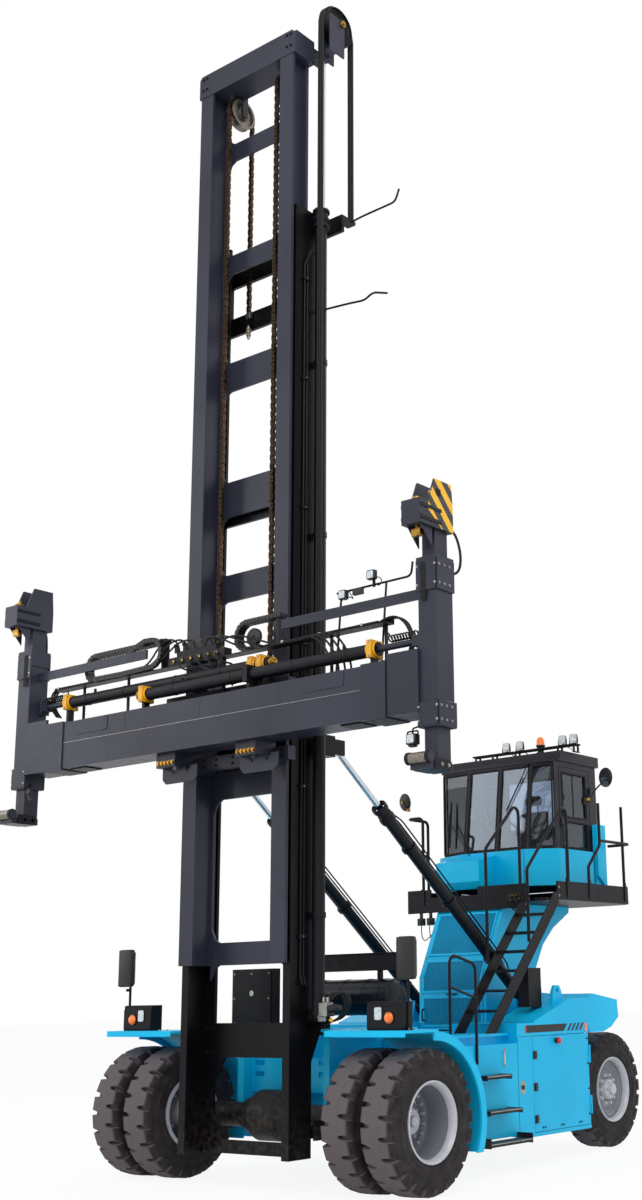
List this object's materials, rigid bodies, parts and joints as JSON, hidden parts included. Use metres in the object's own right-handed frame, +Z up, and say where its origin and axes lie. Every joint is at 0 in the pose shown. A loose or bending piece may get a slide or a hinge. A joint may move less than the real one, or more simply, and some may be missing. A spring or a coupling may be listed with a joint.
{
  "type": "empty container handler",
  "caption": "Counterweighted lift truck with a raised two-stage mast, a telescopic side spreader with vertical end legs, and a high cab on a pedestal.",
  "frame": {"origin": "on the ground, under the centre of the machine with its spreader", "axes": "+X to the machine's left, -Y forward, +Z up"},
  "size_m": [6.16, 6.702, 13.21],
  "materials": {
    "blue": "gloss",
    "mast_grey": "satin",
    "black": "satin",
    "cab_grey": "satin",
    "chrome_rod": "polished",
    "rim_silver": "satin",
    "tyre": "matte",
    "glass": "clear",
    "chain_steel": "oily",
    "seat_fabric": "woven",
    "cast": "painted black",
    "lock_steel": "worn",
    "hose_rubber": "smooth",
    "engine": "plain"
  },
  "bodies": {
    "chassis": {"chassis_frame": "blue", "deck_plates": "blue", "counterweight": "blue", "front_axle": "cast", "rear_axle": "cast", "front_fenders": "blue", "pedestal": "blue", "engine_block": "engine", "platform": "black", "cab_base": "blue", "cab_shell": "cab_grey", "cab_glass": "glass", "cab_controls": "black", "seat": "seat_fabric", "stairs": "black", "handrails": "black", "side_fittings": "black", "front_fittings": "black", "roof_lamps": "black"},
    "wheel_front_left": {"tyres_front_left": "tyre", "rims_front_left": "rim_silver"},
    "wheel_front_right": {"tyres_front_right": "tyre", "rims_front_right": "rim_silver"},
    "steer_left": {"knuckle_left": "cast"},
    "steer_right": {"knuckle_right": "cast"},
    "wheel_rear_left": {"tyre_rear_left": "tyre", "rim_rear_left": "rim_silver"},
    "wheel_rear_right": {"tyre_rear_right": "tyre", "rim_rear_right": "rim_silver"},
    "door": {"cab_door": "cab_grey", "door_panel": "blue", "door_glass": "glass"},
    "locker_left": {"locker_door_left": "blue"},
    "locker_right": {"locker_door_right": "blue"},
    "mast": {"outer_mast": "mast_grey", "lift_barrels": "black", "chains_rear": "chain_steel", "hoses_rear": "hose_rubber"},
    "inner_stage": {"inner_mast": "mast_grey", "lift_rods": "chrome_rod", "sheaves": "mast_grey", "chains_front": "chain_steel", "hoses_front": "hose_rubber"},
    "carriage_stage": {"carriage": "mast_grey"},
    "spreader": {"spreader_tube": "mast_grey", "spreader_gear": "black"},
    "arm_out_left": {"arm_left": "mast_grey"},
    "arm_out_right": {"arm_right": "mast_grey"},
    "leg_down_left": {"leg_left": "mast_grey"},
    "leg_down_right": {"leg_right": "mast_grey"},
    "lock_left": {"twistlock_left": "lock_steel"},
    "lock_right": {"twistlock_right": "lock_steel"},
    "tilt_cylinder_left": {"tilt_barrel_left": "black"},
    "tilt_cylinder_right": {"tilt_barrel_right": "black"},
    "tilt_piston_left": {"tilt_rod_left": "chrome_rod"},
    "tilt_piston_right": {"tilt_rod_right": "chrome_rod"}
  },
  "joints": [
    {"name": "wheel_front_left_spin", "type": "hinge", "parent": "chassis", "child": "wheel_front_left", "pos_m": [0, -1.971, 0.672], "axis": [1, 0, 0], "continuous": true},
    {"name": "steer_left_turn", "type": "hinge", "parent": "chassis", "child": "steer_left", "pos_m": [0.76, 2.679, 0.672], "axis": [0, 0, 1], "range_deg": [-65, 65]},
    {"name": "wheel_rear_left_spin", "type": "hinge", "parent": "steer_left", "child": "wheel_rear_left", "pos_m": [0, 2.679, 0.672], "axis": [1, 0, 0], "continuous": true},
    {"name": "wheel_front_right_spin", "type": "hinge", "parent": "chassis", "child": "wheel_front_right", "pos_m": [0, -1.971, 0.672], "axis": [1, 0, 0], "continuous": true},
    {"name": "steer_right_turn", "type": "hinge", "parent": "chassis", "child": "steer_right", "pos_m": [-0.76, 2.679, 0.672], "axis": [0, 0, 1], "range_deg": [-65, 65]},
    {"name": "wheel_rear_right_spin", "type": "hinge", "parent": "steer_right", "child": "wheel_rear_right", "pos_m": [0, 2.679, 0.672], "axis": [1, 0, 0], "continuous": true},
    {"name": "door_swing", "type": "hinge", "parent": "chassis", "child": "door", "pos_m": [0.915, 2.995, 3.8], "axis": [0, 0, 1], "range_deg": [0, 29]},
    {"name": "locker_left_swing", "type": "hinge", "parent": "chassis", "child": "locker_left", "pos_m": [1.456, 1.835, 0.9], "axis": [0, 0, 1], "range_deg": [0, 100]},
    {"name": "locker_right_swing", "type": "hinge", "parent": "chassis", "child": "locker_right", "pos_m": [-1.456, 1.835, 0.9], "axis": [0, 0, 1], "range_deg": [-100, 0]},
    {"name": "mast_tilt", "type": "hinge", "parent": "chassis", "child": "mast", "pos_m": [0, -2.186, 0.56], "axis": [1, 0, 0], "range_deg": [-6, 3]},
    {"name": "tilt_cylinder_left_turn", "type": "hinge", "parent": "chassis", "child": "tilt_cylinder_left", "pos_m": [0.78, 1.529, 1.7], "axis": [1, 0, 0], "range_deg": [-4, 4]},
    {"name": "tilt_cylinder_left_stroke", "type": "slide", "parent": "tilt_cylinder_left", "child": "tilt_piston_left", "axis": [0, -0.7908, 0.612], "range_m": [-0.35, 0.2]},
    {"name": "tilt_cylinder_right_turn", "type": "hinge", "parent": "chassis", "child": "tilt_cylinder_right", "pos_m": [-0.78, 1.529, 1.7], "axis": [1, 0, 0], "range_deg": [-4, 4]},
    {"name": "tilt_cylinder_right_stroke", "type": "slide", "parent": "tilt_cylinder_right", "child": "tilt_piston_right", "axis": [0, -0.7908, 0.612], "range_m": [-0.35, 0.2]},
    {"name": "mast_lift", "type": "slide", "parent": "mast", "child": "inner_stage", "axis": [0, 0, 1], "range_m": [-1.7, 5.9], "deforming": ["chains_rear", "hoses_rear"]},
    {"name": "carriage_lift", "type": "slide", "parent": "inner_stage", "child": "carriage_stage", "axis": [0, 0, 1], "range_m": [-1.7, 5.9], "deforming": ["chains_front", "hoses_front"]},
    {"name": "side_shift", "type": "slide", "parent": "carriage_stage", "child": "spreader", "axis": [1, 0, 0], "range_m": [-0.3, 0.3]},
    {"name": "arm_left_extend", "type": "slide", "parent": "spreader", "child": "arm_out_left", "axis": [1, 0, 0], "range_m": [0, 3.05]},
    {"name": "leg_left_reach", "type": "slide", "parent": "arm_out_left", "child": "leg_down_left", "axis": [0, 0, 1], "range_m": [-0.24, 0.14]},
    {"name": "twistlock_left_turn", "type": "hinge", "parent": "leg_down_left", "child": "lock_left", "pos_m": [2.945, -3.251, 6], "axis": [0, 0, 1], "range_deg": [0, 90]},
    {"name": "arm_right_extend", "type": "slide", "parent": "spreader", "child": "arm_out_right", "axis": [-1, 0, 0], "range_m": [0, 3.05]},
    {"name": "leg_right_reach", "type": "slide", "parent": "arm_out_right", "child": "leg_down_right", "axis": [0, 0, 1], "range_m": [-0.24, 0.14]},
    {"name": "twistlock_right_turn", "type": "hinge", "parent": "leg_down_right", "child": "lock_right", "pos_m": [-2.945, -3.251, 6], "axis": [0, 0, 1], "range_deg": [0, 90]}
  ],
  "couplings": [
    {"joint": "carriage_lift", "follows": "mast_lift", "ratio": 1},
    {"joint": "tilt_cylinder_left_turn", "follows": "mast_tilt", "ratio": 0.48648},
    {"joint": "tilt_cylinder_left_stroke", "follows": "mast_tilt", "m_per_rad": 3.1753},
    {"joint": "tilt_cylinder_right_turn", "follows": "mast_tilt", "ratio": 0.48648},
    {"joint": "tilt_cylinder_right_stroke", "follows": "mast_tilt", "m_per_rad": 3.1753},
    {"joint": "steer_right_turn", "follows": "steer_left_turn", "ratio": 1}
  ]
}
